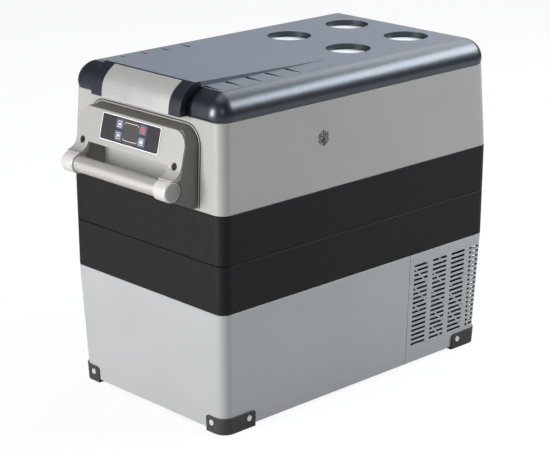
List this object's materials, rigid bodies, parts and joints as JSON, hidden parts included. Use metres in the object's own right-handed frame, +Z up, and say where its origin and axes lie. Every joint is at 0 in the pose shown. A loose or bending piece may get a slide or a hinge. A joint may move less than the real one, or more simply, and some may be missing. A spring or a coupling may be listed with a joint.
{
  "type": "compressor cooler fridge",
  "caption": "Portable compressor cooler box with a hinged lid, pull latch, control panel, tube handles at both ends, vented compressor bay and a wire basket in the tub.",
  "frame": {"origin": "on the floor under the middle of the box, in the plane of the feet", "axes": "+X along the length towards the hinge end (the control panel faces -X), +Y across the width, +Z up"},
  "size_m": [0.651, 0.32, 0.485],
  "materials": {
    "lid_plastic": "satin",
    "body_grey": "satin",
    "band_charcoal": "matte",
    "bracket_grey": "satin",
    "satin_silver": "satin",
    "silver_plastic": "satin",
    "champagne_tube": "satin",
    "display_black": "gloss",
    "button_blue_grey": "satin",
    "foot_rubber": "matte",
    "screw_steel": "polished",
    "liner_white": "satin",
    "rigid_foam": "matte",
    "gasket_rubber": "matte",
    "compressor_black": "satin",
    "steel_plate": "satin",
    "sheet_aluminium": "satin",
    "copper_tube": "satin",
    "fan_black": "matte",
    "inner_plastic": "matte",
    "board_green": "satin",
    "basket_wire": "satin",
    "light_lens": "satin"
  },
  "bodies": {
    "cabinet": {"lower_body_shell": "body_grey", "upper_body_shell": "body_grey", "compressor_cover": "body_grey", "lower_extension_band": "band_charcoal", "upper_extension_band": "band_charcoal", "foot_control_end_left": "foot_rubber", "foot_control_end_right": "foot_rubber", "foot_hinge_end_left": "foot_rubber", "foot_hinge_end_right": "foot_rubber", "foot_screws": "screw_steel", "inner_liner": "liner_white", "interior_light": "light_lens", "insulation_foam": "rigid_foam", "evaporator_coil": "sheet_aluminium", "bay_bulkhead": "sheet_aluminium", "base_plate": "steel_plate", "compressor_grommets": "gasket_rubber", "compressor_bracket": "steel_plate", "compressor_bolts": "screw_steel", "compressor_lower_can": "compressor_black", "compressor_upper_can": "compressor_black", "compressor_terminal_cover": "inner_plastic", "condenser_fins": "sheet_aluminium", "condenser_tube": "copper_tube", "fan_frame": "fan_black", "filter_drier": "copper_tube", "discharge_line": "copper_tube", "suction_line": "copper_tube", "power_module": "sheet_aluminium", "power_inlet": "inner_plastic", "front_handle_bracket": "bracket_grey", "rear_handle_bracket": "bracket_grey", "control_fascia": "silver_plastic", "rear_handle_plate": "silver_plastic", "bracket_screws": "compressor_black", "display_lens": "display_black", "display_module": "inner_plastic", "control_board": "board_green", "handle_bars": "champagne_tube", "handle_sockets": "silver_plastic", "handle_end_caps": "silver_plastic", "latch_catch": "inner_plastic", "hinge_brackets": "steel_plate", "hinge_pins": "screw_steel"},
    "lid": {"lid_shell": "lid_plastic", "lid_foam": "rigid_foam", "lid_inner_panel": "liner_white", "lid_gasket": "gasket_rubber", "lid_hinge_arms": "steel_plate", "latch_pin": "screw_steel", "latch_spring": "screw_steel"},
    "latch": {"latch_cover": "satin_silver"},
    "fan": {"fan_rotor": "fan_black"},
    "basket": {"basket": "basket_wire"},
    "bail_at_control_end": {"bail_control_end": "basket_wire"},
    "bail_at_hinge_end": {"bail_hinge_end": "basket_wire"},
    "power_button": {"button_power": "button_blue_grey"},
    "set_button": {"button_set": "button_blue_grey"},
    "up_button": {"button_up": "button_blue_grey"},
    "down_button": {"button_down": "button_blue_grey"}
  },
  "joints": [
    {"name": "lid_hinge", "type": "hinge", "parent": "cabinet", "child": "lid", "pos_m": [0.273, 0, 0.441], "axis": [0, 1, 0], "range_deg": [0, 95]},
    {"name": "latch_hinge", "type": "hinge", "parent": "lid", "child": "latch", "pos_m": [-0.2595, 0, 0.474], "axis": [0, 1, 0], "range_deg": [0, 45], "stiffness_Nm_per_rad": 0.05},
    {"name": "fan_spin", "type": "hinge", "parent": "cabinet", "child": "fan", "pos_m": [0.182, 0.046, 0.085], "axis": [0, 1, 0], "continuous": true},
    {"name": "basket_lift", "type": "slide", "parent": "cabinet", "child": "basket", "axis": [0, 0, 1], "range_m": [0, 0.025]},
    {"name": "control_end_bail_fold", "type": "hinge", "parent": "basket", "child": "bail_at_control_end", "pos_m": [-0.219, 0, 0.34], "axis": [0, -1, 0], "range_deg": [0, 90]},
    {"name": "hinge_end_bail_fold", "type": "hinge", "parent": "basket", "child": "bail_at_hinge_end", "pos_m": [0.079, 0, 0.34], "axis": [0, 1, 0], "range_deg": [0, 90]},
    {"name": "power_button_press", "type": "slide", "parent": "cabinet", "child": "power_button", "axis": [0.9718, 0, -0.2358], "range_m": [0, 0.0008], "stiffness_N_per_m": 400},
    {"name": "set_button_press", "type": "slide", "parent": "cabinet", "child": "set_button", "axis": [0.9718, 0, -0.2358], "range_m": [0, 0.0008], "stiffness_N_per_m": 400},
    {"name": "up_button_press", "type": "slide", "parent": "cabinet", "child": "up_button", "axis": [0.9718, 0, -0.2358], "range_m": [0, 0.0008], "stiffness_N_per_m": 400},
    {"name": "down_button_press", "type": "slide", "parent": "cabinet", "child": "down_button", "axis": [0.9718, 0, -0.2358], "range_m": [0, 0.0008], "stiffness_N_per_m": 400}
  ]
}
